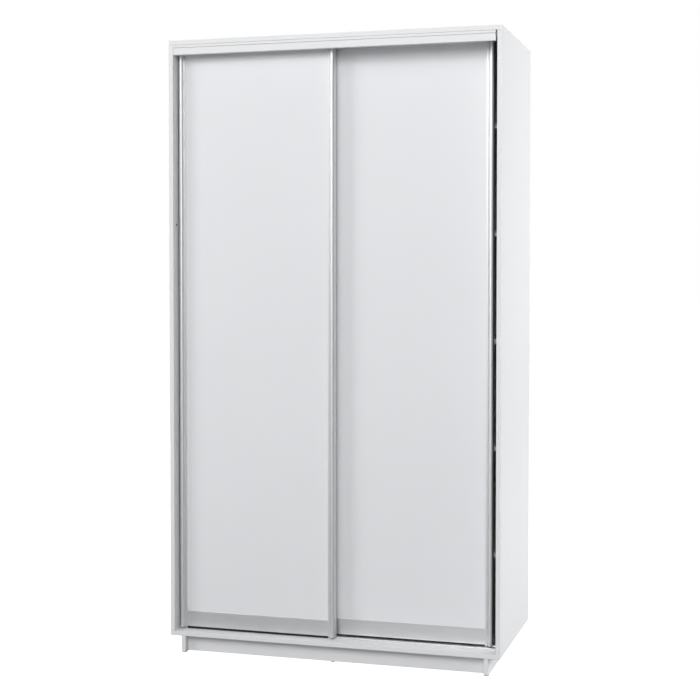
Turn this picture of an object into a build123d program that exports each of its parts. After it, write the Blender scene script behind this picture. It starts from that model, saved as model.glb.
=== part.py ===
from build123d import *
import os

# Two-door sliding wardrobe: white laminated carcass on a recessed plinth, two framed
# doors that roll on a twin-rib floor track, a centre partition, shelves and a hanging rail.
# Millimetres. X runs to the right along the front, Y from the front to the back, Z up.
# The origin is the centre of the footprint on the floor.

# Carcass
WIDTH = 1200.0
DEPTH = 600.0
HEIGHT = 2190.0
BOARD = 16.0
BACK_SHEET = 3.0
BACK_INSET = 2.0
BACK_JOINT_GAP = 0.5
EDGE_ROUND = 1.2
FIT = 0.05

FRONT = -DEPTH / 2
REAR = DEPTH / 2
BOARD_REAR = REAR - BACK_SHEET
INNER_X = WIDTH / 2 - BOARD

# Plinth
PLINTH_TOP = 60.0
GLIDE_HEIGHT = 2.0
GLIDE_RADIUS = 9.0
GLIDE_CHAMFER = 0.6
GLIDE_SETBACK = 12.0
PLINTH_END_INSET = 41.0
PLINTH_END_SETBACK = 2.0
PLINTH_FRONT_SETBACK = 30.0
PLINTH_REAR_SETBACK = 18.0
PLINTH_BACK_SETBACK = 40.0

FLOOR_TOP = PLINTH_TOP + BOARD
CEILING = HEIGHT - BOARD

# Fascia that hides the top track
FASCIA_HEIGHT = 35.0
FASCIA_SETBACK = 2.0
FASCIA_THICK = 16.0
FASCIA_GROOVE_DROP = 9.0
FASCIA_GROOVE_HEIGHT = 2.0
FASCIA_GROOVE_DEPTH = 3.0
FASCIA_END_GAP = 6.0

# Interior
PARTITION_SETBACK = 120.0
SHELF_SETBACK = 130.0
SHELF_REAR_GAP = 1.0
SHELF_SIDE_GAP = 0.5
HAT_SHELF_Z = 1860.0
LOWER_SHELF_Z = 380.0
LOOSE_SHELVES = 3
PIN_RADIUS = 2.5
PIN_LENGTH = 16.0
PIN_SETBACKS = (170.0, 540.0)
RAIL_RADIUS = 12.5
RAIL_TUBE_WALL = 1.6
RAIL_DROP = 50.0
RAIL_SETBACK = 350.0
FLANGE_RADIUS = 24.0
FLANGE_PLATE = 3.0
COLLAR_RADIUS = 15.5
COLLAR_LENGTH = 12.0
FLANGE_SCREW_OFFSET = 19.5
SCREW_SETBACKS = (148.0, 450.0)
BOARD_SCREW_SETBACKS = (100.0, 500.0)
PARTITION_SCREW_SETBACKS = (160.0, 500.0)
NAIL_ROWS = 8
NAIL_COLUMN_SHARES = (0.25, 0.5, 0.75)
CAP_RADIUS = 6.0
CAP_FLAT_RADIUS = 5.5
CAP_RIM = 0.6
CAP_HEIGHT = 0.8

# Plug in the left side panel
PLUG_SETBACK = 28.0
PLUG_Z = 1537.0
PLUG_RADIUS = 4.0
PLUG_FLAT_RADIUS = 3.2
PLUG_RIM = 0.7
PLUG_HEIGHT = 1.5

# Doors
DOOR_WIDTH = 583.0
DOOR_BOTTOM = 82.0
DOOR_TOP = 2160.0
LEFT_DOOR_X = -580.0
RIGHT_DOOR_X = -26.5
FRONT_NOSE_SETBACK = 36.0
DOOR_PITCH = 40.0
STILE_WIDTH = 24.5
STILE_DEPTH = 33.0
STILE_BODY = 12.0
NOSE_RADIUS = 8.5
NOSE_WALL = 1.6
LIP_FRONT = 12.3
PANEL_FRONT = 14.0
PANEL_THICK = 10.0
PANEL_PLAY = 0.1
PANEL_END_GAP = 1.0
LIP_THICK = 1.6
PANEL_BACK_LIP = PANEL_FRONT + PANEL_THICK + PANEL_PLAY + LIP_THICK
RAIL_FRONT = 12.4
RAIL_WALL = 1.5
LOWER_RAIL_BOTTOM = 85.0
LOWER_RAIL_HEIGHT = 55.0
LOWER_RAIL_DEPTH = 20.0
LOWER_RAIL_WEB = (38.0, 41.0)
UPPER_RAIL_BOTTOM = 2145.0
UPPER_RAIL_SLOT = 8.0
PORT_HEIGHT = 34.5
PORT_RADIUS = 4.0
FRAME_SCREW_RADIUS = 1.85
FRAME_SCREW_REACH = 44.5
FRAME_HEAD_RADIUS = 3.4
FRAME_HEAD_HEIGHT = 2.2
ACCESS_RADIUS = 4.0
BORE_OVERRUN = 1.0
UPPER_PORT_HEIGHT = 11.5
PORT_PLANE = (RAIL_FRONT + PANEL_BACK_LIP) / 2

# Rollers, carriages and tracks
ROLLER_PLANE = RAIL_FRONT + LOWER_RAIL_DEPTH / 2
ROLLER_INSET = STILE_WIDTH + 45.0
ROLLER_FLANGE_RADIUS = 13.5
ROLLER_GROOVE_RADIUS = 11.0
ROLLER_HALF_WIDTH = 4.5
GROOVE_HALF_FLOOR = 2.2
GROOVE_HALF_MOUTH = 2.8
AXLE_RADIUS = 3.0
RUNNING_GAP = 0.3
RIB_HEIGHT = 5.5
RIB_THICK = 3.0
TRACK_BASE = 2.0
TRACK_MARGIN = 5.2
TRACK_LIP = 3.0
TRACK_END_GAP = 0.5
CARRIAGE_START = 32.0
CARRIAGE_LENGTH = 68.0
CARRIAGE_Z = (88.0, 112.0)
CARRIAGE_ROOF = 2.0
ROLLER_SIDE_GAP = 0.5
ROLLER_END_GAP = 1.5
ADJUSTER_Z = 102.0
ADJUSTER_LENGTH = 18.0
STOP_LENGTH = 24.0
GUIDE_PLANE = 19.0
GUIDE_INSET = STILE_WIDTH + 60.0
GUIDE_RADIUS = 8.7
GUIDE_HEIGHT = 7.0
GUIDE_CHAMFER = 1.0
GUIDE_WHEEL_GAP = 0.8
GUIDE_PIN_RADIUS = 2.0
GUIDE_PIN_HEAD_RADIUS = 3.2
GUIDE_PIN_SHANK = 10.2
GUIDE_PIN_HEIGHT = 11.4
GUIDE_PLATE = (40.0, 13.0, 2.0)
GUIDE_PLATE_CORNER = 3.0
GUIDE_SCREW_OFFSET = 14.0
GUIDE_SCREW = (2.6, 1.4, 7.0)
FLANGE_THICK = 1.5
FLANGE_HEIGHT = 9.0
TRACK_SCREW_X = (-500.0, -170.0, 170.0, 500.0)

# Travel of each door from where it stands
LEFT_TRAVEL = 565.0
RIGHT_TRAVEL_LEFT = 550.0
RIGHT_TRAVEL_RIGHT = 23.5

# Seals
BRUSH_THICK = 2.5
BRUSH_BITE = 2.5
BRUSH_CLEARANCE = 1.0
PILE_WIDTH = 6.0
PILE_INSET = 2.5
REAR_PILE_DEPTH = 6.2
SIDE_PILE_DEPTH = 3.5
SIDE_PILE_SETBACK = 9.0

ROLLER_Z = FLOOR_TOP + RIB_HEIGHT + RUNNING_GAP + ROLLER_GROOVE_RADIUS
TRACK_TOP = FLOOR_TOP + TRACK_BASE
FRONT_NOSE = FRONT + FRONT_NOSE_SETBACK
REAR_NOSE = FRONT_NOSE + DOOR_PITCH
TRACK_LENGTH = 2 * (INNER_X - TRACK_END_GAP)

os.makedirs("parts", exist_ok=True)


def save(piece, name):
    piece.part.label = name
    export_step(piece.part, f"parts/{name}.step")


def middle(span):
    return (span[0] + span[1]) / 2


def length(span):
    return abs(span[1] - span[0])


def facing(direction, *points):
    """One location for each point, its local Z turned to the direction."""
    return [Plane(origin=point, z_dir=direction).location for point in points]


def turned(profile):
    """A solid of revolution about Z from its half profile of (radius, height) points."""
    with BuildPart() as piece:
        with BuildSketch(Plane.XZ):
            with BuildLine():
                Polyline(*profile, close=True)
            make_face()
        revolve(axis=Axis.Z)
    return piece.part


def group(name, *batches):
    """One node of separate solids: each batch is a solid and the places where it stands."""
    with BuildPart() as pieces:
        for solid, places in batches:
            with Locations(*places):
                add(solid)
    save(pieces, name)


def board(name, x_span, y_span, z_span, cuts=(), edge_round=EDGE_ROUND):
    """A rectangular board with rounded front edges, drilled where its fasteners enter."""
    with BuildPart() as piece:
        with BuildSketch(Plane.XY.offset(z_span[0])):
            with Locations((middle(x_span), middle(y_span))):
                Rectangle(length(x_span), length(y_span))
        extrude(amount=length(z_span))
        if edge_round:
            fillet(piece.edges().group_by(Axis.Y)[0], edge_round)
        for cutter, places in cuts:
            with Locations(*places):
                add(cutter, mode=Mode.SUBTRACT)
    save(piece, name)


def extruded_along_x(name, section, x_span, cuts=()):
    """A profile drawn in the plane of Y and Z at the start of the span, run along X."""
    with BuildPart() as piece:
        extrude(section.sketch, amount=length(x_span))
        for cutter, places in cuts:
            with Locations(*places):
                add(cutter, mode=Mode.SUBTRACT)
    save(piece, name)


# Fasteners, each turned with its head at Z = 0 and its point towards -Z

def confirmat(play=0.0):
    """Carcass screw with a countersunk head, a plain neck and a thick threaded core."""
    head, neck, core = 5.0 + play, 3.5 + play, 2.7 + play
    rim, cone_end, neck_end, tip = -0.8, -3.5, -15.0 - play, -46.0 - play
    return turned([(0, 0), (head, 0), (head, rim), (neck, cone_end), (neck, neck_end),
                   (core, neck_end), (core, tip), (0, tip)])


def countersunk(head, shank, reach, play=0.0):
    """Small countersunk screw."""
    return turned([(0, 0), (head + play, 0), (shank + play, -head + shank),
                   (shank + play, -reach - play), (0, -reach - play)])


def nail(play=0.0):
    """Flat-headed nail that holds the back sheets."""
    head, shank, head_depth, reach = 2.0 + play, 0.8 + play, 0.8 + play, 20.0 + play
    return turned([(0, 0), (head, 0), (head, -head_depth), (shank, -head_depth),
                   (shank, -reach), (0, -reach)])


def pin(radius, reach, play=0.0):
    """Plain round pin."""
    return turned([(0, 0), (radius + play, 0), (radius + play, -reach - play), (0, -reach - play)])


def fastener_places():
    """Where each kind of carcass fastener enters, by the face that its head is in."""
    side_x = INNER_X + BOARD / 2
    rows = [(x, FRONT + setback) for x in (-side_x, side_x) for setback in BOARD_SCREW_SETBACKS]
    rows += [(0, FRONT + setback) for setback in PARTITION_SCREW_SETBACKS]
    top = facing((0, 0, 1), *[(x, y, HEIGHT) for x, y in rows])
    bottom = facing((0, 0, -1), *[(x, y, PLINTH_TOP) for x, y in rows])
    shelf_heights = (HAT_SHELF_Z + BOARD / 2, LOWER_SHELF_Z + BOARD / 2)
    right = facing((1, 0, 0), *[(WIDTH / 2, FRONT + setback, z)
                                for setback in SCREW_SETBACKS for z in shelf_heights])
    left = facing((-1, 0, 0), *[(-WIDTH / 2, FRONT + setback, shelf_heights[0])
                                for setback in SCREW_SETBACKS])
    return top, bottom, left, right


def nail_places():
    """Nails along every board edge behind the two back sheets."""
    sheet_x = WIDTH / 2 - BOARD / 2
    joint_x = BOARD / 4
    heights = [HEIGHT * (row + 0.5) / NAIL_ROWS for row in range(NAIL_ROWS)]
    columns = [sheet_x * share for share in NAIL_COLUMN_SHARES]
    upright = [(x, z) for x in (-sheet_x, -joint_x, joint_x, sheet_x) for z in heights]
    level = [(side * x, z) for side in (-1, 1) for x in columns
             for z in (PLINTH_TOP + BOARD / 2, HEIGHT - BOARD / 2)]
    return facing((0, 1, 0), *[(x, REAR, z) for x, z in upright + level])


TOP_SCREWS, BOTTOM_SCREWS, LEFT_SCREWS, RIGHT_SCREWS = fastener_places()
NAILS = nail_places()
SCREW_BORE = confirmat(FIT)
NAIL_BORE = nail(FIT)

# Loose shelf heights, evenly spaced between the two fixed shelves
SHELF_PITCH = (HAT_SHELF_Z - LOWER_SHELF_Z) / (LOOSE_SHELVES + 1)
LOOSE_SHELF_Z = [LOWER_SHELF_Z + SHELF_PITCH * (i + 1) for i in range(LOOSE_SHELVES)]

PIN_Z = [z - PIN_RADIUS - FIT for z in LOOSE_SHELF_Z]
PIN_REACH_IN = PIN_LENGTH / 2
SIDE_PINS = facing((-1, 0, 0), *[(INNER_X - PIN_REACH_IN, FRONT + y, z)
                                 for y in PIN_SETBACKS for z in PIN_Z])
PARTITION_PINS = facing((1, 0, 0), *[(BOARD / 2 + PIN_REACH_IN, FRONT + y, z)
                                     for y in PIN_SETBACKS for z in PIN_Z])
PIN_BORE = pin(PIN_RADIUS, PIN_LENGTH, FIT)

RAIL_Z = HAT_SHELF_Z - RAIL_DROP
RAIL_Y = FRONT + RAIL_SETBACK
FLANGE_FACES = ((-INNER_X, 1), (-BOARD / 2, -1))
FLANGE_SCREWS = [place for x, inward in FLANGE_FACES for place in
                 facing((inward, 0, 0), *[(x + inward * FLANGE_PLATE, RAIL_Y + offset, RAIL_Z)
                                          for offset in (-FLANGE_SCREW_OFFSET, FLANGE_SCREW_OFFSET)])]
FLANGE_SCREW = (3.0, 1.6, 13.0)
FLANGE_SCREW_BORE = countersunk(*FLANGE_SCREW, FIT)

TRACK_SCREW = (3.5, 1.75, 13.0)
TRACK_SCREW_BORE = countersunk(*TRACK_SCREW, FIT)
BETWEEN_RIBS = FRONT_NOSE + ROLLER_PLANE + DOOR_PITCH / 2
BETWEEN_CHANNELS = FRONT_NOSE + GUIDE_PLANE + DOOR_PITCH / 2
FLOOR_TRACK_SCREWS = facing((0, 0, 1), *[(x, BETWEEN_RIBS, TRACK_TOP) for x in TRACK_SCREW_X])
TOP_TRACK_SCREWS = facing((0, 0, -1), *[(x, BETWEEN_CHANNELS, CEILING - TRACK_BASE)
                                        for x in TRACK_SCREW_X])

PLUG_PLACE = facing((1, 0, 0), (-INNER_X, FRONT + PLUG_SETBACK, PLUG_Z))
PLUG_BORE = pin(PIN_RADIUS, PIN_REACH_IN, FIT)


def carcass_boards():
    whole_x = (-WIDTH / 2, WIDTH / 2)
    board_y = (FRONT, BOARD_REAR)
    inside_z = (FLOOR_TOP, CEILING)
    bores = [(SCREW_BORE, TOP_SCREWS), (SCREW_BORE, BOTTOM_SCREWS), (NAIL_BORE, NAILS)]
    board("bottom_board", whole_x, board_y, (PLINTH_TOP, FLOOR_TOP),
          bores + [(TRACK_SCREW_BORE, FLOOR_TRACK_SCREWS)])
    board("top_board", whole_x, board_y, (CEILING, HEIGHT),
          bores + [(TRACK_SCREW_BORE, TOP_TRACK_SCREWS)])
    board("left_side", (-WIDTH / 2, -INNER_X), board_y, inside_z,
          bores + [(SCREW_BORE, LEFT_SCREWS), (FLANGE_SCREW_BORE, FLANGE_SCREWS),
                   (PLUG_BORE, PLUG_PLACE)])
    board("right_side", (INNER_X, WIDTH / 2), board_y, inside_z,
          bores + [(SCREW_BORE, RIGHT_SCREWS), (PIN_BORE, SIDE_PINS)])
    board("centre_partition", (-BOARD / 2, BOARD / 2), (FRONT + PARTITION_SETBACK, BOARD_REAR),
          inside_z, bores + [(PIN_BORE, PARTITION_PINS), (FLANGE_SCREW_BORE, FLANGE_SCREWS)])


def back_sheets():
    sheet_z = (PLINTH_TOP + BACK_INSET, HEIGHT - BACK_INSET)
    outer, joint = WIDTH / 2 - BACK_INSET, BACK_JOINT_GAP / 2
    for name, x_span in (("left_back_sheet", (-outer, -joint)), ("right_back_sheet", (joint, outer))):
        board(name, x_span, (BOARD_REAR, REAR), sheet_z, [(NAIL_BORE, NAILS)], edge_round=0)


def plinth():
    outer = WIDTH / 2 - PLINTH_END_INSET
    inner = outer - BOARD
    z_span = (GLIDE_HEIGHT, PLINTH_TOP)
    end_y = (FRONT + PLINTH_END_SETBACK, REAR - PLINTH_REAR_SETBACK)
    front_y = FRONT + PLINTH_FRONT_SETBACK
    back_y = REAR - PLINTH_BACK_SETBACK
    board("plinth_left_end", (-outer, -inner), end_y, z_span)
    board("plinth_right_end", (inner, outer), end_y, z_span)
    board("plinth_front_board", (-inner, inner), (front_y, front_y + BOARD), z_span, edge_round=0)
    board("plinth_back_board", (-inner, inner), (back_y - BOARD, back_y), z_span, edge_round=0)
    corner_x = outer - BOARD / 2
    glide_y = (FRONT + GLIDE_SETBACK, end_y[1] - BOARD)
    spots = [(x, y) for x in (-corner_x, corner_x) for y in glide_y]
    spots += [(0, front_y + BOARD / 2), (0, back_y - BOARD / 2)]
    foot = GLIDE_RADIUS - GLIDE_CHAMFER
    glide = turned([(0, 0), (GLIDE_RADIUS, 0), (foot, -GLIDE_HEIGHT), (0, -GLIDE_HEIGHT)])
    group("floor_glides", (glide, facing((0, 0, 1), *[(x, y, GLIDE_HEIGHT) for x, y in spots])))


def shelves():
    y_span = (FRONT + SHELF_SETBACK, BOARD_REAR - SHELF_REAR_GAP)
    left_bay, right_bay = (-INNER_X, -BOARD / 2), (BOARD / 2, INNER_X)
    hat_z = (HAT_SHELF_Z, HAT_SHELF_Z + BOARD)
    board("left_hat_shelf", left_bay, y_span, hat_z, [(SCREW_BORE, LEFT_SCREWS)])
    board("right_hat_shelf", right_bay, y_span, hat_z, [(SCREW_BORE, RIGHT_SCREWS)])
    board("fixed_lower_shelf", right_bay, y_span, (LOWER_SHELF_Z, LOWER_SHELF_Z + BOARD),
          [(SCREW_BORE, RIGHT_SCREWS)])
    loose_bay = (right_bay[0] + SHELF_SIDE_GAP, right_bay[1] - SHELF_SIDE_GAP)
    for number, z in enumerate(LOOSE_SHELF_Z, start=1):
        board(f"loose_shelf_{number}", loose_bay, y_span, (z, z + BOARD))
    group("shelf_pins", (pin(PIN_RADIUS, PIN_LENGTH), SIDE_PINS + PARTITION_PINS))


def hanging_rail():
    clear = FLANGE_PLATE / 2
    x_span = (-INNER_X + clear, -BOARD / 2 - clear)
    with BuildPart() as rail:
        with BuildSketch(Plane.YZ.offset(x_span[0])):
            with Locations((RAIL_Y, RAIL_Z)):
                Circle(RAIL_RADIUS)
                Circle(RAIL_RADIUS - RAIL_TUBE_WALL, mode=Mode.SUBTRACT)
        extrude(amount=length(x_span))
    save(rail, "hanging_rail")

    bore = RAIL_RADIUS + FIT
    with BuildPart() as flange:
        with BuildSketch(Plane.XZ):
            with BuildLine():
                Polyline((0, 0), (FLANGE_RADIUS, 0), (FLANGE_RADIUS, FLANGE_PLATE),
                         (COLLAR_RADIUS, FLANGE_PLATE), (COLLAR_RADIUS, COLLAR_LENGTH),
                         (bore, COLLAR_LENGTH), (bore, clear), (0, clear), close=True)
            make_face()
        revolve(axis=Axis.Z)
    with BuildPart() as flanges:
        for x, inward in FLANGE_FACES:
            with Locations(*facing((inward, 0, 0), (x, RAIL_Y, RAIL_Z))):
                add(flange.part)
        with Locations(*FLANGE_SCREWS):
            add(FLANGE_SCREW_BORE, mode=Mode.SUBTRACT)
    save(flanges, "rail_flanges")
    group("rail_flange_screws", (countersunk(*FLANGE_SCREW), FLANGE_SCREWS))


def fascia():
    """Strip under the top board with a groove along the upper part of its face."""
    face = FRONT + FASCIA_SETBACK
    rear = face + FASCIA_THICK
    low = CEILING - FASCIA_HEIGHT
    groove_rear = face + FASCIA_GROOVE_DEPTH
    groove_top = CEILING - FASCIA_GROOVE_DROP
    groove_low = groove_top - FASCIA_GROOVE_HEIGHT

    x_span = (-INNER_X, INNER_X - FASCIA_END_GAP)
    with BuildSketch(Plane.YZ.offset(x_span[0])) as section:
        with BuildLine():
            Polyline((face + EDGE_ROUND, low), (rear, low), (rear, CEILING), (face, CEILING),
                     (face, groove_top), (groove_rear, groove_top), (groove_rear, groove_low),
                     (face, groove_low), (face, low + EDGE_ROUND), close=True)
        make_face()
    extruded_along_x("top_fascia", section, x_span)


def tracks():
    x_span = (-TRACK_LENGTH / 2, TRACK_LENGTH / 2)
    ribs = [nose + ROLLER_PLANE for nose in (FRONT_NOSE, REAR_NOSE)]
    low, high = ribs[0] - TRACK_MARGIN, ribs[1] + TRACK_MARGIN
    rib_low = FLOOR_TOP + RIB_HEIGHT - RIB_THICK / 2

    with BuildSketch(Plane.YZ.offset(x_span[0])) as floor_section:
        with Locations((middle((low, high)), FLOOR_TOP + TRACK_BASE / 2)):
            Rectangle(high - low, TRACK_BASE)
        with Locations((low + RAIL_WALL / 2, FLOOR_TOP + TRACK_LIP / 2),
                       (high - RAIL_WALL / 2, FLOOR_TOP + TRACK_LIP / 2)):
            Rectangle(RAIL_WALL, TRACK_LIP)
        with Locations(*[(rib, middle((FLOOR_TOP, rib_low))) for rib in ribs]):
            Rectangle(RIB_THICK, rib_low - FLOOR_TOP)
        with Locations(*[(rib, rib_low) for rib in ribs]):
            Circle(RIB_THICK / 2)
    extruded_along_x("floor_track", floor_section, x_span, [(TRACK_SCREW_BORE, FLOOR_TRACK_SCREWS)])

    half_channel = GUIDE_RADIUS + RUNNING_GAP
    channels = [nose + GUIDE_PLANE for nose in (FRONT_NOSE, REAR_NOSE)]
    edge = half_channel + FLANGE_THICK
    plate = (channels[0] - edge, channels[1] + edge)

    flange_y = [channel + side * (half_channel + FLANGE_THICK / 2)
                for channel in channels for side in (-1, 1)]
    with BuildSketch(Plane.YZ.offset(x_span[0])) as top_section:
        with Locations((middle(plate), CEILING - TRACK_BASE / 2)):
            Rectangle(length(plate), TRACK_BASE)
        with Locations(*[(y, CEILING - TRACK_BASE - FLANGE_HEIGHT / 2) for y in flange_y]):
            Rectangle(FLANGE_THICK, FLANGE_HEIGHT)
    extruded_along_x("top_track", top_section, x_span, [(TRACK_SCREW_BORE, TOP_TRACK_SCREWS)])
    group("track_screws", (countersunk(*TRACK_SCREW), FLOOR_TRACK_SCREWS + TOP_TRACK_SCREWS))


def track_stops():
    """Rubber blocks in the top channels, each one met by a guide wheel at the end of a travel."""
    reach = GUIDE_RADIUS + RUNNING_GAP + STOP_LENGTH / 2
    left_wheels = (LEFT_DOOR_X + GUIDE_INSET, LEFT_DOOR_X + DOOR_WIDTH - GUIDE_INSET)
    right_wheels = (RIGHT_DOOR_X + GUIDE_INSET, RIGHT_DOOR_X + DOOR_WIDTH - GUIDE_INSET)
    front, rear = FRONT_NOSE + GUIDE_PLANE, REAR_NOSE + GUIDE_PLANE
    spots = ((left_wheels[0] - reach, front),
             (left_wheels[1] + LEFT_TRAVEL + reach, front),
             (right_wheels[0] - RIGHT_TRAVEL_LEFT - reach, rear),
             (right_wheels[1] + RIGHT_TRAVEL_RIGHT + reach, rear))
    with BuildPart() as stops:
        with BuildSketch(Plane.XY.offset(CEILING - TRACK_BASE - FLANGE_HEIGHT)):
            with Locations(*spots):
                Rectangle(STOP_LENGTH, 2 * GUIDE_RADIUS)
        extrude(amount=FLANGE_HEIGHT)
    save(stops, "track_stops")


def carcass_fasteners():
    screws = TOP_SCREWS + BOTTOM_SCREWS + LEFT_SCREWS + RIGHT_SCREWS
    group("carcass_screws", (confirmat(), screws))
    cap = turned([(0, 0), (CAP_RADIUS, 0), (CAP_FLAT_RADIUS, CAP_RIM), (0, CAP_HEIGHT)])
    group("screw_caps", (cap, TOP_SCREWS + LEFT_SCREWS + RIGHT_SCREWS))
    group("back_nails", (nail(), NAILS))
    plug = turned([(0, PLUG_HEIGHT), (PLUG_FLAT_RADIUS, PLUG_HEIGHT), (PLUG_RADIUS, PLUG_RIM),
                   (PLUG_RADIUS, 0), (PIN_RADIUS, 0), (PIN_RADIUS, -PIN_REACH_IN),
                   (0, -PIN_REACH_IN)])
    group("side_plug", (plug, PLUG_PLACE))


def stile(name, outer_x, inward, nose_y):
    """Aluminium stile: bull nose outside, lips round the panel edge, open at the back of them."""
    def at(across, deep):
        return (outer_x + inward * across, nose_y + deep)

    slot_front, slot_back = PANEL_FRONT - PANEL_PLAY, PANEL_FRONT + PANEL_THICK + PANEL_PLAY
    back_lip = PANEL_BACK_LIP
    nose_end = 2 * NOSE_RADIUS
    ports = facing((-inward, 0, 0),
                   (outer_x, nose_y + PORT_PLANE, LOWER_RAIL_BOTTOM + PORT_HEIGHT),
                   (outer_x, nose_y + ROLLER_PLANE, ADJUSTER_Z),
                   (outer_x, nose_y + PORT_PLANE, UPPER_RAIL_BOTTOM + UPPER_PORT_HEIGHT))
    access_hole = pin(ACCESS_RADIUS, STILE_BODY / 2)
    screw_hole = pin(FRAME_SCREW_RADIUS + 2 * FIT, STILE_BODY + BORE_OVERRUN)
    with BuildPart() as piece:
        with BuildSketch(Plane.XY.offset(DOOR_BOTTOM)):
            with BuildLine():
                ThreePointArc(at(0, NOSE_RADIUS), at(NOSE_RADIUS, 0), at(nose_end, NOSE_RADIUS))
                Polyline(at(nose_end, NOSE_RADIUS), at(nose_end, LIP_FRONT),
                         at(STILE_WIDTH, LIP_FRONT), at(STILE_WIDTH, slot_front),
                         at(STILE_BODY, slot_front), at(STILE_BODY, slot_back),
                         at(STILE_WIDTH, slot_back), at(STILE_WIDTH, back_lip),
                         at(STILE_BODY, back_lip), at(STILE_BODY, STILE_DEPTH),
                         at(0, STILE_DEPTH), at(0, NOSE_RADIUS))
            make_face()
            with BuildLine():
                ThreePointArc(at(NOSE_WALL, NOSE_RADIUS), at(NOSE_RADIUS, NOSE_WALL),
                              at(nose_end - NOSE_WALL, NOSE_RADIUS))
                Polyline(at(nose_end - NOSE_WALL, NOSE_RADIUS), at(nose_end - NOSE_WALL, LIP_FRONT),
                         at(NOSE_WALL, LIP_FRONT), at(NOSE_WALL, NOSE_RADIUS))
            make_face(mode=Mode.SUBTRACT)
            with BuildLine():
                Polyline(at(NOSE_WALL, slot_front), at(STILE_BODY - NOSE_WALL, slot_front),
                         at(STILE_BODY - NOSE_WALL, STILE_DEPTH - NOSE_WALL),
                         at(NOSE_WALL, STILE_DEPTH - NOSE_WALL), close=True)
            make_face(mode=Mode.SUBTRACT)
        extrude(amount=DOOR_TOP - DOOR_BOTTOM)
        with Locations(*ports):
            add(access_hole, mode=Mode.SUBTRACT)
            add(screw_hole, mode=Mode.SUBTRACT)
    save(piece, name)


def lower_rail(name, x_span, nose_y):
    """Aluminium bottom rail: panel channel above a web, roller channel open below it."""
    z0 = LOWER_RAIL_BOTTOM
    front, back = nose_y + RAIL_FRONT, nose_y + RAIL_FRONT + LOWER_RAIL_DEPTH
    slot_front = nose_y + PANEL_FRONT - PANEL_PLAY
    slot_back = nose_y + PANEL_FRONT + PANEL_THICK + PANEL_PLAY
    web_low, web_high = z0 + LOWER_RAIL_WEB[0], z0 + LOWER_RAIL_WEB[1]
    top = z0 + LOWER_RAIL_HEIGHT
    port = (nose_y + PORT_PLANE, z0 + PORT_HEIGHT)

    with BuildSketch(Plane.YZ.offset(x_span[0])) as section:
        with BuildLine():
            Polyline((front, z0), (front, top), (slot_front, top), (slot_front, web_high),
                     (slot_back, web_high), (slot_back, top), (slot_back + LIP_THICK, top),
                     (slot_back + LIP_THICK, web_high), (back, web_high), (back, z0),
                     (back - RAIL_WALL, z0), (back - RAIL_WALL, web_low),
                     (slot_front, web_low), (slot_front, z0), close=True)
        make_face()
        with Locations(port):
            Circle(PORT_RADIUS)
            Circle(FRAME_SCREW_RADIUS + FIT, mode=Mode.SUBTRACT)
    extruded_along_x(name, section, x_span)


def upper_rail(name, x_span, nose_y, cuts):
    """Aluminium top rail: a channel down over the panel with a thick web for the fixings."""
    z0 = UPPER_RAIL_BOTTOM
    front = nose_y + RAIL_FRONT
    slot_front = nose_y + PANEL_FRONT - PANEL_PLAY
    slot_back = nose_y + PANEL_FRONT + PANEL_THICK + PANEL_PLAY
    back = nose_y + PANEL_BACK_LIP
    slot_top = z0 + UPPER_RAIL_SLOT

    with BuildSketch(Plane.YZ.offset(x_span[0])) as section:
        with BuildLine():
            Polyline((front, z0), (front, DOOR_TOP), (back, DOOR_TOP), (back, z0),
                     (slot_back, z0), (slot_back, slot_top), (slot_front, slot_top),
                     (slot_front, z0), close=True)
        make_face()
        with Locations((middle((front, back)), z0 + UPPER_PORT_HEIGHT)):
            Circle(FRAME_SCREW_RADIUS + FIT, mode=Mode.SUBTRACT)
    extruded_along_x(name, section, x_span, cuts)


def roller_groove_wheel():
    bore = AXLE_RADIUS + FIT
    half, flange, groove = ROLLER_HALF_WIDTH, ROLLER_FLANGE_RADIUS, ROLLER_GROOVE_RADIUS
    floor, mouth = GROOVE_HALF_FLOOR, GROOVE_HALF_MOUTH
    return turned([(bore, -half), (flange, -half), (flange, -mouth), (groove, -floor),
                   (groove, floor), (flange, mouth), (flange, half), (bore, half)])


def guide_wheel():
    bore = GUIDE_PIN_RADIUS + FIT
    half, rim = GUIDE_HEIGHT / 2, GUIDE_RADIUS
    edge, shoulder = rim - GUIDE_CHAMFER, half - GUIDE_CHAMFER
    return turned([(bore, -half), (edge, -half), (rim, -shoulder), (rim, shoulder),
                   (edge, half), (bore, half)])


def side_pile(pile_x, nose_y):
    """Place of the pile strip that closes the gap between a stile and the side board."""
    return pile_x, (nose_y + SIDE_PILE_SETBACK, nose_y + SIDE_PILE_SETBACK + PILE_WIDTH)


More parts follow.
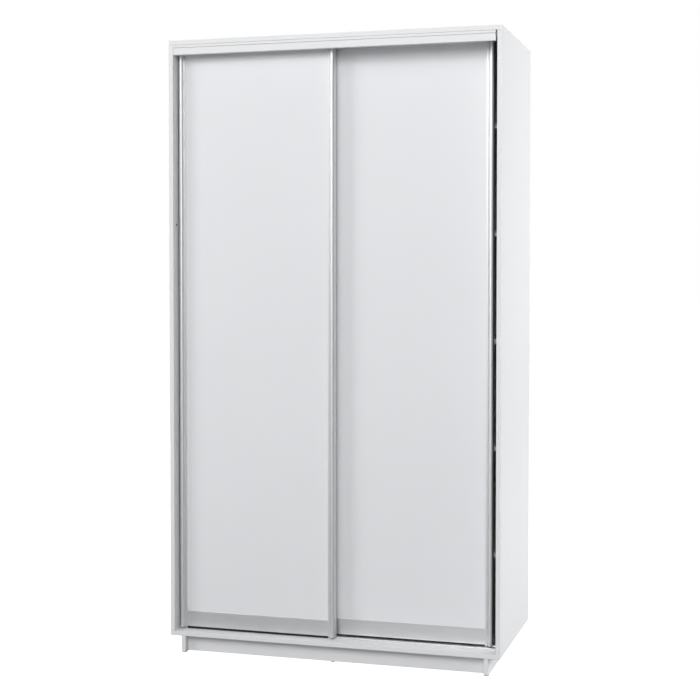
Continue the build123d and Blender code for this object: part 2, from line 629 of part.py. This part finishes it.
def door(side, x0, nose_y, brush_low, *piles):
    """One framed door with its left edge at x0 and the front of its stiles at nose_y."""
    x1 = x0 + DOOR_WIDTH
    rail_x = (x0 + STILE_WIDTH, x1 - STILE_WIDTH)
    stile(f"{side}_door_left_stile", x0, 1, nose_y)
    stile(f"{side}_door_right_stile", x1, -1, nose_y)
    lower_rail(f"{side}_door_bottom_rail", rail_x, nose_y)

    play = STILE_BODY + PANEL_END_GAP
    panel_y = (nose_y + PANEL_FRONT, nose_y + PANEL_FRONT + PANEL_THICK)
    panel_z = (LOWER_RAIL_BOTTOM + LOWER_RAIL_WEB[1] + PANEL_PLAY,
               UPPER_RAIL_BOTTOM + UPPER_RAIL_SLOT - PANEL_PLAY)
    board(f"{side}_door_panel", (x0 + play, x1 - play), panel_y, panel_z, edge_round=0)

    # Guide brackets on the top rail, each with a pin for its wheel
    guide_y = nose_y + GUIDE_PLANE
    guide_x = (x0 + GUIDE_INSET, x1 - GUIDE_INSET)
    plate_top = DOOR_TOP + GUIDE_PLATE[2]
    guide_screws = facing((0, 0, 1), *[(x + shift, guide_y, plate_top) for x in guide_x
                                       for shift in (-GUIDE_SCREW_OFFSET, GUIDE_SCREW_OFFSET)])
    screw_bore = countersunk(*GUIDE_SCREW, FIT)
    upper_rail(f"{side}_door_top_rail", rail_x, nose_y, [(screw_bore, guide_screws)])
    pin_bore = pin(GUIDE_PIN_RADIUS, GUIDE_PLATE[2])
    with BuildPart() as brackets:
        with BuildSketch(Plane.XY.offset(DOOR_TOP)):
            with Locations(*[(x, guide_y) for x in guide_x]):
                RectangleRounded(GUIDE_PLATE[0], GUIDE_PLATE[1], GUIDE_PLATE_CORNER)
        extrude(amount=GUIDE_PLATE[2])
        with Locations(*guide_screws):
            add(screw_bore, mode=Mode.SUBTRACT)
        with Locations(*facing((0, 0, 1), *[(x, guide_y, plate_top) for x in guide_x])):
            add(pin_bore, mode=Mode.SUBTRACT)
    save(brackets, f"{side}_door_guide_brackets")

    # Roller carriages inside the bottom rail
    roller_y = nose_y + ROLLER_PLANE
    ends = ((x0, 1), (x1, -1))
    half_carriage = LOWER_RAIL_DEPTH / 2 - RAIL_WALL - FIT
    slot_half = ROLLER_HALF_WIDTH + ROLLER_SIDE_GAP
    axle = pin(AXLE_RADIUS, 2 * half_carriage)
    roller_x = [x + inward * ROLLER_INSET for x, inward in ends]
    axle_places = facing((0, -1, 0), *[(x, roller_y - half_carriage, ROLLER_Z) for x in roller_x])
    adjusters = [place for x, inward in ends for place in
                 facing((-inward, 0, 0), (x + inward * CARRIAGE_START, roller_y, ADJUSTER_Z))]
    adjuster_bore = pin(GUIDE_PIN_RADIUS, ADJUSTER_LENGTH, FIT)
    with BuildPart() as carriages:
        with BuildSketch(Plane.XY.offset(CARRIAGE_Z[0])):
            with Locations(*[(x + inward * (CARRIAGE_START + CARRIAGE_LENGTH / 2), roller_y)
                             for x, inward in ends]):
                Rectangle(CARRIAGE_LENGTH, 2 * half_carriage)
        extrude(amount=length(CARRIAGE_Z))
        with BuildSketch(Plane.XY.offset(CARRIAGE_Z[0])):
            with Locations(*[(x, roller_y) for x in roller_x]):
                Rectangle(2 * (ROLLER_FLANGE_RADIUS + ROLLER_END_GAP), 2 * slot_half)
        extrude(amount=length(CARRIAGE_Z) - CARRIAGE_ROOF, mode=Mode.SUBTRACT)
        with Locations(*axle_places):
            add(axle, mode=Mode.SUBTRACT)
        with Locations(*adjusters):
            add(adjuster_bore, mode=Mode.SUBTRACT)
    save(carriages, f"{side}_door_roller_carriages")

    guide_pin = turned([(0, 0), (GUIDE_PIN_RADIUS, 0), (GUIDE_PIN_RADIUS, GUIDE_PIN_SHANK),
                        (GUIDE_PIN_HEAD_RADIUS, GUIDE_PIN_SHANK),
                        (GUIDE_PIN_HEAD_RADIUS, GUIDE_PIN_HEIGHT), (0, GUIDE_PIN_HEIGHT)])
    group(f"{side}_door_axles", (axle, axle_places),
          (guide_pin, facing((0, 0, 1), *[(x, guide_y, DOOR_TOP) for x in guide_x])))

    # Frame screws seat on the inner wall of the stile, behind a round access hole
    seat = STILE_BODY - NOSE_WALL
    frame_screw = turned([(0, FRAME_HEAD_HEIGHT), (FRAME_HEAD_RADIUS, FRAME_HEAD_HEIGHT),
                          (FRAME_HEAD_RADIUS, 0), (FRAME_SCREW_RADIUS, 0),
                          (FRAME_SCREW_RADIUS, seat - FRAME_SCREW_REACH),
                          (0, seat - FRAME_SCREW_REACH)])
    adjuster = turned([(0, FRAME_HEAD_HEIGHT), (FRAME_HEAD_RADIUS, FRAME_HEAD_HEIGHT),
                       (FRAME_HEAD_RADIUS, 0), (GUIDE_PIN_RADIUS, 0),
                       (GUIDE_PIN_RADIUS, -ADJUSTER_LENGTH), (0, -ADJUSTER_LENGTH)])
    port_y = nose_y + PORT_PLANE
    frame_places = [place for x, inward in ends for place in
                    facing((-inward, 0, 0),
                           (x + inward * seat, port_y, LOWER_RAIL_BOTTOM + PORT_HEIGHT),
                           (x + inward * seat, port_y, UPPER_RAIL_BOTTOM + UPPER_PORT_HEIGHT))]
    group(f"{side}_door_screws", (frame_screw, frame_places), (adjuster, adjusters),
          (countersunk(*GUIDE_SCREW), guide_screws))

    # Wheels turn freely: a grooved roller on each axle, a plain wheel on each guide pin
    wheel_z = plate_top + GUIDE_WHEEL_GAP + GUIDE_HEIGHT / 2
    for end, x in zip(("left", "right"), roller_x):
        group(f"{side}_door_{end}_roller",
              (roller_groove_wheel(), facing((0, -1, 0), (x, roller_y, ROLLER_Z))))
    for end, x in zip(("left", "right"), guide_x):
        group(f"{side}_door_{end}_guide_wheel",
              (guide_wheel(), facing((0, 0, 1), (x, guide_y, wheel_z))))

    # Brush along the bottom rail, and pile strips on the stiles
    brush_y = nose_y + PANEL_FRONT - PANEL_PLAY
    with BuildPart() as seals:
        with BuildSketch(Plane.XY.offset(brush_low)):
            with Locations((middle(rail_x), brush_y + BRUSH_THICK / 2)):
                Rectangle(length(rail_x), BRUSH_THICK)
        extrude(amount=LOWER_RAIL_BOTTOM + BRUSH_BITE - brush_low)
        with BuildSketch(Plane.XY.offset(DOOR_BOTTOM + PILE_WIDTH)):
            for pile_x, pile_y in piles:
                with Locations((middle(pile_x), middle(pile_y))):
                    Rectangle(length(pile_x), length(pile_y))
        extrude(amount=DOOR_TOP - DOOR_BOTTOM - 2 * PILE_WIDTH)
    save(seals, f"{side}_door_seals")


carcass_boards()
back_sheets()
plinth()
shelves()
hanging_rail()
fascia()
tracks()
track_stops()
carcass_fasteners()

left_door_edge = LEFT_DOOR_X + DOOR_WIDTH
right_door_edge = RIGHT_DOOR_X + DOOR_WIDTH
rear_pile = ((left_door_edge - PILE_INSET - PILE_WIDTH, left_door_edge - PILE_INSET),
             (FRONT_NOSE + STILE_DEPTH, FRONT_NOSE + STILE_DEPTH + REAR_PILE_DEPTH))
door("left", LEFT_DOOR_X, FRONT_NOSE, FLOOR_TOP + BRUSH_CLEARANCE,
     side_pile((LEFT_DOOR_X - SIDE_PILE_DEPTH, LEFT_DOOR_X), FRONT_NOSE), rear_pile)
door("right", RIGHT_DOOR_X, REAR_NOSE, TRACK_TOP + BRUSH_CLEARANCE,
     side_pile((right_door_edge, right_door_edge + SIDE_PILE_DEPTH), REAR_NOSE))
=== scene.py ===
import math

import bmesh
import bpy
from mathutils import Matrix, Vector, noise

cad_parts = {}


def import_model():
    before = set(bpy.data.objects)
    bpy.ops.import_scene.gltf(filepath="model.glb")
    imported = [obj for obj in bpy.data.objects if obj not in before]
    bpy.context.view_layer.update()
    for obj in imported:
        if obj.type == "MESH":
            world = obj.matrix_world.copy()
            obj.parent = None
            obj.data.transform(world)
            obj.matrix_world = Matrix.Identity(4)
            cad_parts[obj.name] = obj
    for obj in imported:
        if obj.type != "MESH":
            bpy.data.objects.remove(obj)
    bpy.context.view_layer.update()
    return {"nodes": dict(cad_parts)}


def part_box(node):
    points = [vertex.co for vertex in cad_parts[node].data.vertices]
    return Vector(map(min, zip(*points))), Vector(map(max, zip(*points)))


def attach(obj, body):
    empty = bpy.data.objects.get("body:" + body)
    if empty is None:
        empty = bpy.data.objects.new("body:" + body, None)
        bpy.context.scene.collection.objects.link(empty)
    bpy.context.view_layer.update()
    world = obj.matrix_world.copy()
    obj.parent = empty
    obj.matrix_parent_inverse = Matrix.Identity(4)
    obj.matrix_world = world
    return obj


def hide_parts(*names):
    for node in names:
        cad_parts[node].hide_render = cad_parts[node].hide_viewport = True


# Looks of the two-door sliding wardrobe. Metres, in the row frame: X right, Y back, Z up.

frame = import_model()
NODES = frame["nodes"]

CAMERA_PLACE = (1.454, -5.041, 1.361)
CAMERA_YAW = math.radians(16.24)
CAMERA_PITCH = math.radians(-1.73)
CAMERA_LENS = 73.65
CAMERA_SHIFT = -0.047
SENSOR_WIDTH = 36.0
SIGHT = 100.0

# To the camera, the surround and the floor are full white. The object is lit by the surround's
# faint fill and by what the grey floor throws back.
SURROUND = 1.0
FLOOR_GLOW = 1.0
FILL = 0.06
FLOOR_HALF = 60.0

LIGHT_TARGET = (0.0, 0.0, 1.2)
SIDE_TARGET = (0.6, 0.0, 1.2)

# Fine noise turns into roughness between these two of its values.
GRAIN_LOW = 0.3
GRAIN_HIGH = 0.7

# How far a face must turn towards the front or back before it counts as facing that way.
FACING = 0.5

# The hairline between board and edge band: its place, half its width and its darkening.
SEAM_FROM_FRONT = 0.0011
SEAM_HALF = 0.00025
SEAM_SHADE = 0.55

# Radians per metre of the print on the hardboard, and how far die lines are drawn out.
MESH_WAVES = 2600.0
DRAWN_OUT = 0.003

# The brush: the carrier's share of its height, then tufts, whose sizes are shares of the pitch
# in x and of a row's depth in y, and whose tips are shares of the tufts.
CARRIER_SHARE = 0.3
TUFT_PITCH = 0.0013
TUFT_ROWS = 2
TUFT_HALF_X = 0.48
TUFT_HALF_Y = 0.46
TIP_X = 0.6
TIP_Y = 0.8
TUFT_SWAY = 0.35

# The pile strips: rings along and points across, then shares of the strip's reach.
PILE_STEPS = 420
PILE_ACROSS = 8
PILE_BACKING = 0.25
PILE_UNEVEN = 0.06

# CAD corners nearer than this are one.
WELD = 1e-6


# ---------------------------------------------------------------- node helpers

class Shader:
    """A material's node tree, with short calls for the nodes used here."""

    def __init__(self, name, color, roughness, metallic=0.0):
        self.material = bpy.data.materials.new(name)
        self.material.use_nodes = True
        self.material.diffuse_color = (*color, 1.0)
        self.tree = self.material.node_tree
        self.bsdf = self.tree.nodes["Principled BSDF"]
        self.color = color
        self.bsdf.inputs["Base Color"].default_value = (*color, 1.0)
        self.bsdf.inputs["Roughness"].default_value = roughness
        self.bsdf.inputs["Metallic"].default_value = metallic
        self.place = self.node("ShaderNodeTexCoord").outputs["Object"]

    def node(self, kind, **settings):
        made = self.tree.nodes.new(kind)
        for key, value in settings.items():
            setattr(made, key, value)
        return made

    def join(self, output, target):
        self.tree.links.new(output, target)

    def math(self, operation, first, second=None):
        made = self.node("ShaderNodeMath", operation=operation)
        for socket, value in zip(made.inputs, (first, second)):
            if value is None:
                continue
            if isinstance(value, (int, float)):
                socket.default_value = value
            else:
                self.join(value, socket)
        return made.outputs[0]

    def axis(self, letter, vector=None):
        split = self.node("ShaderNodeSeparateXYZ")
        self.join(vector or self.place, split.inputs[0])
        return split.outputs[letter]

    def noise(self, scale, detail=2.0, stretch=(1, 1, 1), roughness=0.5):
        """Noise in the object's own coordinates; stretch scales each axis."""
        mapping = self.node("ShaderNodeMapping")
        mapping.inputs["Scale"].default_value = stretch
        self.join(self.place, mapping.inputs["Vector"])
        made = self.node("ShaderNodeTexNoise")
        made.inputs["Scale"].default_value = scale
        made.inputs["Detail"].default_value = detail
        made.inputs["Roughness"].default_value = roughness
        self.join(mapping.outputs[0], made.inputs["Vector"])
        return made.outputs["Fac"]

    def ramp(self, factor, *stops):
        """A colour ramp with stops of (position, value or colour)."""
        made = self.node("ShaderNodeValToRGB")
        ramp = made.color_ramp
        while len(ramp.elements) < len(stops):
            ramp.elements.new(0.5)
        for element, (position, value) in zip(ramp.elements, stops):
            element.position = position
            color = value if isinstance(value, tuple) else (value,) * 3
            element.color = (*color, 1.0)
        self.join(factor, made.inputs[0])
        return made.outputs[0]

    def blend(self, factor, first, second):
        made = self.node("ShaderNodeMix", data_type="RGBA")
        self.join(factor, made.inputs["Factor"])
        for socket, value in ((made.inputs[6], first), (made.inputs[7], second)):
            if isinstance(value, tuple):
                socket.default_value = (*value, 1.0)
            else:
                self.join(value, socket)
        return made.outputs[2]

    def grain(self, factor, smooth, rough):
        """Roughness that runs from smooth to rough with a fine noise."""
        return self.ramp(factor, (GRAIN_LOW, smooth), (GRAIN_HIGH, rough))

    def shade(self, low, high, factor):
        """The base colour between low and high times itself, by a factor."""
        dark = tuple(c * low for c in self.color)
        light = tuple(min(1.0, c * high) for c in self.color)
        return self.blend(factor, dark, light)

    def bump(self, height, distance, strength=1.0):
        made = self.node("ShaderNodeBump")
        made.inputs["Distance"].default_value = distance
        made.inputs["Strength"].default_value = strength
        self.join(height, made.inputs["Height"])
        return made.outputs[0]

    def finish(self, color, roughness=None, normal=None):
        links = {"Base Color": color, "Roughness": roughness, "Normal": normal}
        for socket, value in links.items():
            if value is not None:
                self.join(value, self.bsdf.inputs[socket])
        return self.material


# ---------------------------------------------------------------- materials

def laminate(name, color, roughness=0.36, front=None):
    """White melamine-faced board: a pearl texture, and a hairline where the edge band meets it."""
    s = Shader(name, color, roughness)
    pearl = s.noise(650.0, detail=3.0)
    cloud = s.noise(2.2, detail=3.0)
    shade = s.shade(0.975, 1.01, cloud)
    if front is not None:
        offset = s.math("SUBTRACT", s.axis("Y"), front + SEAM_FROM_FRONT)
        near = s.math("LESS_THAN", s.math("ABSOLUTE", offset), SEAM_HALF)
        normal = s.node("ShaderNodeNewGeometry").outputs["Normal"]
        flat = s.math("LESS_THAN", s.math("ABSOLUTE", s.axis("Y", normal)), FACING)
        seam = s.math("MULTIPLY", near, flat)
        shade = s.blend(seam, shade, tuple(c * SEAM_SHADE for c in color))
    rough = s.grain(pearl, roughness - 0.05, roughness + 0.07)
    return s.finish(shade, rough, s.bump(pearl, 0.00006, 0.5))


def hardboard(name, face, reverse):
    """Thin fibreboard: lacquered inside, bare brown with a mesh print behind."""
    s = Shader(name, face, 0.55)
    normal = s.node("ShaderNodeNewGeometry").outputs["Normal"]
    rear = s.math("GREATER_THAN", s.axis("Y", normal), FACING)
    fibre = s.noise(420.0, detail=6.0, roughness=0.7)
    cloud = s.noise(7.0, detail=4.0)
    dark, light, pale = (tuple(c * share for c in reverse) for share in (0.72, 1.18, 1.25))
    brown = s.blend(fibre, dark, light)
    brown = s.blend(s.ramp(cloud, (0.35, 0.0), (0.75, 0.35)), brown, pale)
    wave_x = s.math("SINE", s.math("MULTIPLY", s.axis("X"), MESH_WAVES))
    wave_z = s.math("SINE", s.math("MULTIPLY", s.axis("Z"), MESH_WAVES))
    mesh_print = s.math("MULTIPLY", wave_x, wave_z)
    height = s.math("ADD", s.math("MULTIPLY", mesh_print, rear), fibre)
    color = s.blend(rear, s.shade(0.96, 1.0, cloud), brown)
    rough = s.ramp(rear, (0.0, 0.5), (1.0, 0.82))
    return s.finish(color, rough, s.bump(height, 0.00008, 0.6))


def aluminium(name, color, along, roughness):
    """Satin anodised extrusion: die lines run along the profile."""
    s = Shader(name, color, roughness, metallic=1.0)
    stretch = {"X": (DRAWN_OUT, 1, 1), "Z": (1, 1, DRAWN_OUT)}[along]
    die_lines = s.noise(1500.0, detail=3.0, stretch=stretch)
    cloud_stretch = tuple(v if v == 1 else 0.25 for v in stretch)
    cloud = s.noise(14.0, detail=2.0, stretch=cloud_stretch)
    streaks = s.noise(240.0, detail=2.0, stretch=stretch)
    mixed = s.math("ADD", s.math("MULTIPLY", streaks, 0.6), s.math("MULTIPLY", cloud, 0.4))
    shade = s.shade(0.97, 1.02, mixed)
    rough = s.grain(die_lines, roughness - 0.02, roughness + 0.05)
    return s.finish(shade, rough, s.bump(die_lines, 0.00001, 0.15))


def plated(name, color, roughness, spangle=0.04):
    """Plated steel: bright, with faint blotches."""
    s = Shader(name, color, roughness, metallic=1.0)
    blotch = s.noise(160.0, detail=4.0)
    fine = s.noise(1800.0, detail=2.0)
    shade = s.shade(1.0 - 2.5 * spangle, 1.0 + spangle, blotch)
    rough = s.grain(blotch, max(0.02, roughness - spangle), roughness + spangle)
    return s.finish(shade, rough, s.bump(fine, 0.00002, 0.3))


def moulded(name, color, roughness, grain=0.00005):
    """Moulded plastic or rubber with a fine grain."""
    s = Shader(name, color, roughness)
    fine = s.noise(1400.0, detail=3.0)
    cloud = s.noise(60.0, detail=2.0)
    shade = s.shade(0.88, 1.08, cloud)
    rough = s.grain(fine, roughness - 0.06, roughness + 0.06)
    return s.finish(shade, rough, s.bump(fine, grain, 0.6))


def pile(name, color):
    """Dense, nearly black fibre with short streaks down the tufts."""
    s = Shader(name, color, 0.9)
    fibre = s.noise(900.0, detail=4.0, stretch=(1, 1, 0.15))
    shade = s.shade(0.55, 1.6, fibre)
    s.bsdf.inputs["Sheen Weight"].default_value = 0.1
    return s.finish(shade, None, s.bump(fibre, 0.0003, 0.8))


def board_front(node):
    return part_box(node)[0].y


WHITE = (0.77, 0.775, 0.785)
DOOR_WHITE = (0.77, 0.78, 0.80)
# One satin aluminium in two copies. The uprights' darker base colour is painted shade for their dimmer
# reflections, and the lighter one on the rails and tracks is painted light.
SHADED_SILVER = (0.78, 0.785, 0.795)
LIT_SILVER = (0.88, 0.885, 0.895)

CARCASS_FRONT = board_front("left_side")
PARTITION_FRONT = board_front("centre_partition")
SHELF_FRONT = board_front("left_hat_shelf")
PLINTH_END_FRONT = board_front("plinth_left_end")

CARCASS = laminate("white_laminate_carcass", WHITE, front=CARCASS_FRONT)
PARTITION = laminate("white_laminate_partition", WHITE, front=PARTITION_FRONT)
SHELF = laminate("white_laminate_shelf", WHITE, front=SHELF_FRONT)
PLINTH_END = laminate("white_laminate_plinth_end", WHITE, front=PLINTH_END_FRONT)
PLAIN = laminate("white_laminate_plain", WHITE)
PANEL = laminate("door_laminate", DOOR_WHITE, roughness=0.34)
BACK = hardboard("hardboard", (0.78, 0.78, 0.77), (0.26, 0.155, 0.085))
# The uprights take the darker silver, which is painted shade. The rails and tracks take the lighter
# silver, which is painted light.
ALUMINIUM_UP = aluminium("satin_aluminium_upright_shaded", SHADED_SILVER, "Z", 0.50)
ALUMINIUM_ALONG = aluminium("satin_aluminium_level_lit", LIT_SILVER, "X", 0.42)
ZINC = plated("zinc_steel", (0.55, 0.56, 0.58), 0.36, 0.06)
CHROME = plated("chromed_tube", (0.80, 0.81, 0.83), 0.07, 0.015)
CAP = moulded("white_plastic", (0.74, 0.745, 0.755), 0.45)
NYLON = moulded("wheel_plastic", (0.055, 0.057, 0.062), 0.42)
BLACK = moulded("black_plastic", (0.012, 0.012, 0.013), 0.5)
RUBBER = moulded("black_rubber", (0.014, 0.014, 0.014), 0.72, 0.00012)
PILE = pile("grey_pile", (0.012, 0.012, 0.014))

DOORS = ("left", "right")
NODE_MATERIALS = {
    "bottom_board": CARCASS, "top_board": CARCASS, "left_side": CARCASS, "right_side": CARCASS,
    "centre_partition": PARTITION, "left_hat_shelf": SHELF, "right_hat_shelf": SHELF,
    "fixed_lower_shelf": SHELF, "loose_shelf_1": SHELF, "loose_shelf_2": SHELF,
    "loose_shelf_3": SHELF, "plinth_left_end": PLINTH_END, "plinth_right_end": PLINTH_END,
    "plinth_front_board": PLAIN, "plinth_back_board": PLAIN, "top_fascia": PLAIN,
    "left_back_sheet": BACK, "right_back_sheet": BACK, "back_nails": ZINC,
    "floor_glides": BLACK, "shelf_pins": ZINC, "hanging_rail": CHROME, "rail_flanges": CHROME,
    "rail_flange_screws": ZINC, "top_track": ALUMINIUM_ALONG, "floor_track": ALUMINIUM_ALONG,
    "track_screws": ZINC, "track_stops": RUBBER, "carcass_screws": ZINC, "screw_caps": CAP,
    "side_plug": BLACK,
}
for side in DOORS:
    NODE_MATERIALS.update({
        f"{side}_door_panel": PANEL,
        f"{side}_door_left_stile": ALUMINIUM_UP, f"{side}_door_right_stile": ALUMINIUM_UP,
        f"{side}_door_top_rail": ALUMINIUM_ALONG, f"{side}_door_bottom_rail": ALUMINIUM_ALONG,
        f"{side}_door_screws": ZINC, f"{side}_door_roller_carriages": ZINC,
        f"{side}_door_guide_brackets": ZINC, f"{side}_door_axles": ZINC,
        f"{side}_door_left_roller": NYLON, f"{side}_door_right_roller": NYLON,
        f"{side}_door_left_guide_wheel": NYLON, f"{side}_door_right_guide_wheel": NYLON,
        f"{side}_door_seals": PILE,
    })

for node, material in NODE_MATERIALS.items():
    NODES[node].data.materials.clear()
    NODES[node].data.materials.append(material)


# ---------------------------------------------------------------- seals

def piece(name, mesh, material, body):
    mesh.normal_update()
    data = bpy.data.meshes.new(name)
    mesh.to_mesh(data)
    mesh.free()
    data.materials.append(material)
    made = bpy.data.objects.new(name, data)
    bpy.context.scene.collection.objects.link(made)
    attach(made, body)
    return made


def ring_of(mesh, points):
    return [mesh.verts.new(point) for point in points]


def bridge(mesh, first, second):
    count = len(first)
    for i in range(count):
        j = (i + 1) % count
        mesh.faces.new((first[i], first[j], second[j], second[i]))


def loft(mesh, rings):
    for first, second in zip(rings, rings[1:]):
        bridge(mesh, first, second)
    mesh.faces.new(list(reversed(rings[0])))
    mesh.faces.new(rings[-1])


def oblong(mesh, x, y, z, half_x, half_y):
    return ring_of(mesh, [(x - half_x, y - half_y, z), (x + half_x, y - half_y, z),
                          (x + half_x, y + half_y, z), (x - half_x, y + half_y, z)])


def brush_tufts(mesh, low, high):
    """Rows of tapered tufts that hang from the carrier strip along the bottom rail."""
    seat = high.z - CARRIER_SHARE * (high.z - low.z)
    count = int((high.x - low.x) / TUFT_PITCH)
    deep = (high.y - low.y) / TUFT_ROWS
    half_x = TUFT_HALF_X * TUFT_PITCH
    half_y = TUFT_HALF_Y * deep
    for index in range(count):
        for row in range(TUFT_ROWS):
            x = low.x + (index + 0.5) * TUFT_PITCH
            y = low.y + (row + 0.5) * deep
            sway = TUFT_SWAY * TUFT_PITCH * noise.noise(Vector((x * 900.0, row * 7.1, 0.0)))
            top = oblong(mesh, x, y, seat, half_x, half_y)
            tip = oblong(mesh, x + sway, y, low.z, TIP_X * half_x, TIP_Y * half_y)
            loft(mesh, [tip, top])
    rings = [ring_of(mesh, [(x, low.y, seat), (x, high.y, seat), (x, high.y, high.z), (x, low.y, high.z)])
             for x in (low.x, high.x)]
    loft(mesh, rings)


def pile_strip(mesh, low, high, outward):
    """Upright pile strip: a thin backing and a crowned, slightly uneven face of fibre."""
    outward = Vector(outward)
    reach_axis = 0 if abs(outward.x) > 0.5 else 1
    width_axis = 1 - reach_axis
    sign = 1 if outward[reach_axis] > 0 else -1
    base = low[reach_axis] if sign > 0 else high[reach_axis]
    reach = high[reach_axis] - low[reach_axis]
    middle = (low[width_axis] + high[width_axis]) / 2
    half = (high[width_axis] - low[width_axis]) / 2
    rings = []
    for step in range(PILE_STEPS + 1):
        z = low.z + (high.z - low.z) * step / PILE_STEPS
        ring = []
        for i in range(PILE_ACROSS + 1):
            share = -1 + 2 * i / PILE_ACROSS
            crown = PILE_BACKING + (1 - PILE_BACKING) * (1 - abs(share) ** 3)
            wobble = noise.noise(Vector((share * 3.0, z * 260.0, base * 50.0)))
            rough = 1 - PILE_UNEVEN * abs(wobble)
            point = [0.0, 0.0, z]
            point[reach_axis] = base + sign * reach * crown * rough
            point[width_axis] = middle + share * half
            ring.append(point)
        for share in (1.0, -1.0):
            point = [0.0, 0.0, z]
            point[reach_axis] = base
            point[width_axis] = middle + share * half
            ring.append(point)
        rings.append(ring_of(mesh, ring))
    loft(mesh, rings)


def loose_boxes(node):
    """The separate solids of a CAD node, as (lowest, highest) corners, widest first."""
    source = bmesh.new()
    source.from_mesh(NODES[node].data)
    bmesh.ops.remove_doubles(source, verts=source.verts, dist=WELD)
    left = set(source.verts)
    found = []
    while left:
        stack = [left.pop()]
        island = []
        while stack:
            vert = stack.pop()
            island.append(vert.co.copy())
            for edge in vert.link_edges:
                other = edge.other_vert(vert)
                if other in left:
                    left.remove(other)
                    stack.append(other)
        low = Vector([min(p[i] for p in island) for i in range(3)])
        high = Vector([max(p[i] for p in island) for i in range(3)])
        found.append((low, high))
    source.free()
    return sorted(found, key=lambda pair: pair[0].x - pair[1].x)


def seals(side, *outward):
    """The brush under a door, and its pile strips from left to right, each facing its own way."""
    brush, *strips = loose_boxes(f"{side}_door_seals")
    mesh = bmesh.new()
    brush_tufts(mesh, *brush)
    for strip, way in zip(sorted(strips, key=lambda pair: pair[0].x), outward):
        pile_strip(mesh, *strip, way)
    bmesh.ops.recalc_face_normals(mesh, faces=mesh.faces)
    made = piece(f"{side}_door_brush_and_pile", mesh, PILE, f"{side}_door")
    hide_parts(f"{side}_door_seals")


seals("left", (-1, 0, 0), (0, 1, 0))
seals("right", (1, 0, 0))


# ---------------------------------------------------------------- stage, light, camera

def floor():
    """Pale floor: pure white to the camera out to the horizon, but only a grey one to the object."""
    mesh = bpy.data.meshes.new("studio_floor")
    corners = [(-FLOOR_HALF, -FLOOR_HALF, 0), (FLOOR_HALF, -FLOOR_HALF, 0),
               (FLOOR_HALF, FLOOR_HALF, 0), (-FLOOR_HALF, FLOOR_HALF, 0)]
    mesh.from_pydata(corners, [], [(0, 1, 2, 3)])
    made = bpy.data.objects.new("studio_floor", mesh)
    s = Shader("pale_floor", (0.40, 0.40, 0.40), 0.9)
    cloud = s.noise(0.8, detail=2.0)
    s.bsdf.inputs["Specular IOR Level"].default_value = 0.0
    s.bsdf.inputs["Emission Color"].default_value = (1.0, 1.0, 1.0, 1.0)
    seen = s.node("ShaderNodeLightPath").outputs["Is Camera Ray"]
    s.join(s.math("MULTIPLY", seen, FLOOR_GLOW), s.bsdf.inputs["Emission Strength"])
    mesh.materials.append(s.finish(s.shade(0.99, 1.01, cloud)))
    bpy.context.scene.collection.objects.link(made)


def area_light(name, place, target, size, power):
    light = bpy.data.lights.new(name, "AREA")
    light.shape = "RECTANGLE"
    light.size, light.size_y = size
    light.energy = power
    made = bpy.data.objects.new(name, light)
    direction = Vector(target) - Vector(place)
    turn = direction.to_track_quat("-Z", "Y").to_matrix().to_4x4()
    made.matrix_world = Matrix.Translation(place) @ turn
    bpy.context.scene.collection.objects.link(made)


def world():
    """Even white surround, seen brighter by the camera than by the object."""
    made = bpy.data.worlds.new("studio")
    bpy.context.scene.world = made
    made.use_nodes = True
    tree = made.node_tree
    seen = tree.nodes["Background"]
    seen.inputs["Color"].default_value = (1, 1, 1, 1)
    seen.inputs["Strength"].default_value = SURROUND
    fill = tree.nodes.new("ShaderNodeBackground")
    fill.inputs["Color"].default_value = (0.97, 0.98, 1.0, 1)
    fill.inputs["Strength"].default_value = FILL
    path = tree.nodes.new("ShaderNodeLightPath")
    mix = tree.nodes.new("ShaderNodeMixShader")
    tree.links.new(path.outputs["Is Camera Ray"], mix.inputs["Fac"])
    tree.links.new(fill.outputs[0], mix.inputs[1])
    tree.links.new(seen.outputs[0], mix.inputs[2])
    tree.links.new(mix.outputs[0], tree.nodes["World Output"].inputs["Surface"])


def camera():
    data = bpy.data.cameras.new("camera")
    data.lens = CAMERA_LENS
    data.sensor_width = SENSOR_WIDTH
    data.shift_y = CAMERA_SHIFT
    data.clip_end = SIGHT
    made = bpy.data.objects.new("camera", data)
    made.location = CAMERA_PLACE
    made.rotation_euler = (math.pi / 2 + CAMERA_PITCH, 0.0, CAMERA_YAW)
    bpy.context.scene.collection.objects.link(made)
    bpy.context.scene.camera = made


floor()
world()
area_light("key_softbox", (1.5, -6.8, 4.4), LIGHT_TARGET, (3.0, 3.0), 240.0)
area_light("high_softbox", (-0.6, -5.0, 5.6), LIGHT_TARGET, (3.0, 3.0), 85.0)
area_light("low_softbox", (1.4, -6.6, 1.8), LIGHT_TARGET, (2.4, 2.4), 45.0)
area_light("left_softbox", (-6.0, -4.6, 3.8), LIGHT_TARGET, (2.8, 2.8), 190.0)
area_light("side_softbox", (4.2, 1.2, 1.9), SIDE_TARGET, (2.0, 2.6), 190.0)
area_light("back_softbox", (-2.6, 6.0, 3.6), LIGHT_TARGET, (2.4, 2.4), 220.0)
camera()
bpy.context.scene.view_settings.view_transform = "Standard"
bpy.context.scene.view_settings.look = "None"
